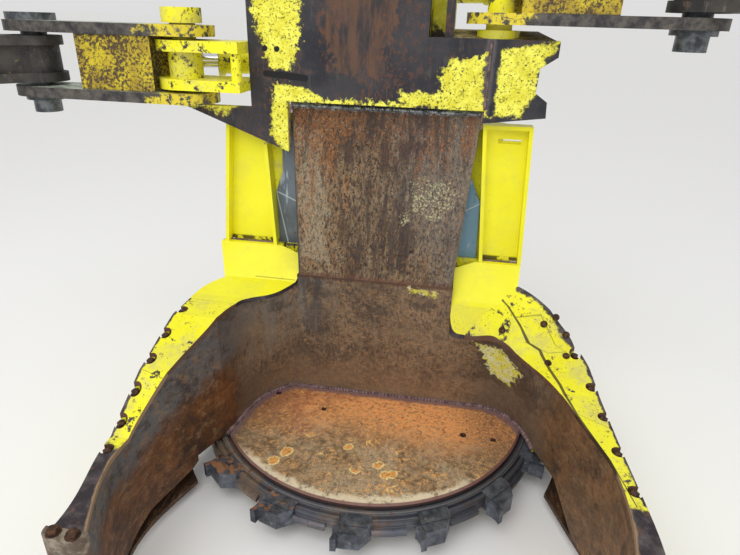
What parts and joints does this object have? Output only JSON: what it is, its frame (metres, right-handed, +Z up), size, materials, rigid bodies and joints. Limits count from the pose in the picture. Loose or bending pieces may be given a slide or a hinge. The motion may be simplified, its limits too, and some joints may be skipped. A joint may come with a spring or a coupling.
{
  "type": "disc saw felling head",
  "caption": "Disc saw felling head: toothed saw disc under a butt plate, horned pocket, rusty wear plate on a tower and hinged grab arms with curling claws.",
  "frame": {"origin": "on the saw axis at the floor, on the underside of the middle skid", "axes": "+Z up the saw axis, -Y out of the pocket's mouth, +X to the right as seen from the mouth"},
  "size_m": [2.4092, 1.7573, 1.82],
  "materials": {
    "dark_plate": "dark worn plate with remains of yellow paint",
    "motor_iron": "black painted iron",
    "pin_steel": "dark machined steel",
    "rod_chrome": "hard chrome",
    "saw_steel": "blued scoured steel",
    "tooth_steel": "dark hardened steel",
    "worn_steel": "scoured and rusted bare plate",
    "yellow_paint": "worn yellow paint"
  },
  "bodies": {
    "head_frame": {"arm_bracket_left": "yellow_paint", "arm_bracket_right": "yellow_paint", "arm_pin_left": "pin_steel", "arm_pin_right": "pin_steel", "back_plate": "dark_plate", "base_plate": "worn_steel", "butt_plate": "worn_steel", "column_left": "yellow_paint", "column_right": "yellow_paint", "cylinder_lug_left": "yellow_paint", "cylinder_lug_right": "yellow_paint", "deck_gussets": "dark_plate", "deck_plate": "worn_steel", "hitch_lugs": "yellow_paint", "horn_closer_left": "yellow_paint", "horn_closer_right": "yellow_paint", "horn_flange_left": "yellow_paint", "horn_flange_right": "yellow_paint", "horn_inner_left": "worn_steel", "horn_inner_right": "worn_steel", "horn_outer_left": "yellow_paint", "horn_outer_right": "yellow_paint", "horn_sole_left": "yellow_paint", "horn_sole_right": "yellow_paint", "horn_tip_left": "dark_plate", "horn_tip_right": "dark_plate", "pocket_wall": "worn_steel", "saw_guard": "worn_steel", "saw_motor": "motor_iron", "shoulder_left": "yellow_paint", "shoulder_right": "yellow_paint", "side_guard_left": "worn_steel", "side_guard_right": "worn_steel", "skids": "worn_steel", "spindle": "worn_steel", "spine_left": "dark_plate", "spine_right": "dark_plate", "spine_skin": "dark_plate", "tilt_lugs": "yellow_paint", "tower_cap": "dark_plate", "tower_face": "dark_plate", "tower_side": "dark_plate", "tower_side_right": "dark_plate", "wear_plate": "worn_steel", "wing_left": "dark_plate", "wing_right": "dark_plate"},
    "saw": {"saw_disc": "saw_steel", "saw_hub": "saw_steel", "tooth_holders": "tooth_steel", "tooth_bits": "tooth_steel"},
    "arm_left": {"arm_left": "dark_plate", "elbow_pin_left": "pin_steel"},
    "claw_left": {"claw_left": "dark_plate"},
    "arm_right": {"arm_right": "dark_plate", "elbow_pin_right": "pin_steel"},
    "claw_right": {"claw_right": "dark_plate"},
    "barrel_left": {"barrel_left": "yellow_paint"},
    "rod_left": {"rod_left": "rod_chrome"},
    "barrel_right": {"barrel_right": "yellow_paint"},
    "rod_right": {"rod_right": "rod_chrome"}
  },
  "joints": [
    {"name": "saw_spin", "type": "hinge", "parent": "head_frame", "child": "saw", "pos_m": [0, 0, 0.1], "axis": [0, 0, -1], "continuous": true},
    {"name": "arm_left_swing", "type": "hinge", "parent": "head_frame", "child": "arm_left", "pos_m": [-0.625, -0.05, 1.349], "axis": [0, 0, 1], "range_deg": [0, 70]},
    {"name": "claw_left_curl", "type": "hinge", "parent": "arm_left", "child": "claw_left", "pos_m": [-1.135, -0.05, 1.349], "axis": [0, 0, 1], "range_deg": [0, 42]},
    {"name": "barrel_left_swing", "type": "hinge", "parent": "head_frame", "child": "barrel_left", "pos_m": [-0.24, 0.33, 1.349], "axis": [0, 0, 1], "range_deg": [0, 8.17]},
    {"name": "rod_left_slide", "type": "slide", "parent": "barrel_left", "child": "rod_left", "axis": [-0.8964, -0.4432, 0], "range_m": [0, 0.17787]},
    {"name": "arm_right_swing", "type": "hinge", "parent": "head_frame", "child": "arm_right", "pos_m": [0.33, 0.03, 1.593], "axis": [0, 0, -1], "range_deg": [0, 70]},
    {"name": "claw_right_curl", "type": "hinge", "parent": "arm_right", "child": "claw_right", "pos_m": [0.838, -0.06, 1.593], "axis": [0, 0, -1], "range_deg": [0, 42]},
    {"name": "barrel_right_swing", "type": "hinge", "parent": "head_frame", "child": "barrel_right", "pos_m": [0, 0.39, 1.593], "axis": [0, 0, -1], "range_deg": [0, 8.68]},
    {"name": "rod_right_slide", "type": "slide", "parent": "barrel_right", "child": "rod_right", "axis": [0.8898, -0.4563, 0], "range_m": [0, 0.1795]}
  ],
  "couplings": [
    {"joint": "claw_left_curl", "follows": "arm_left_swing", "ratio": 0.6},
    {"joint": "barrel_left_swing", "follows": "arm_left_swing", "ratio": 0.11666},
    {"joint": "rod_left_slide", "follows": "arm_left_swing", "m_per_rad": 0.14559},
    {"joint": "claw_right_curl", "follows": "arm_right_swing", "ratio": 0.6},
    {"joint": "barrel_right_swing", "follows": "arm_right_swing", "ratio": 0.12402},
    {"joint": "rod_right_slide", "follows": "arm_right_swing", "m_per_rad": 0.14692}
  ]
}
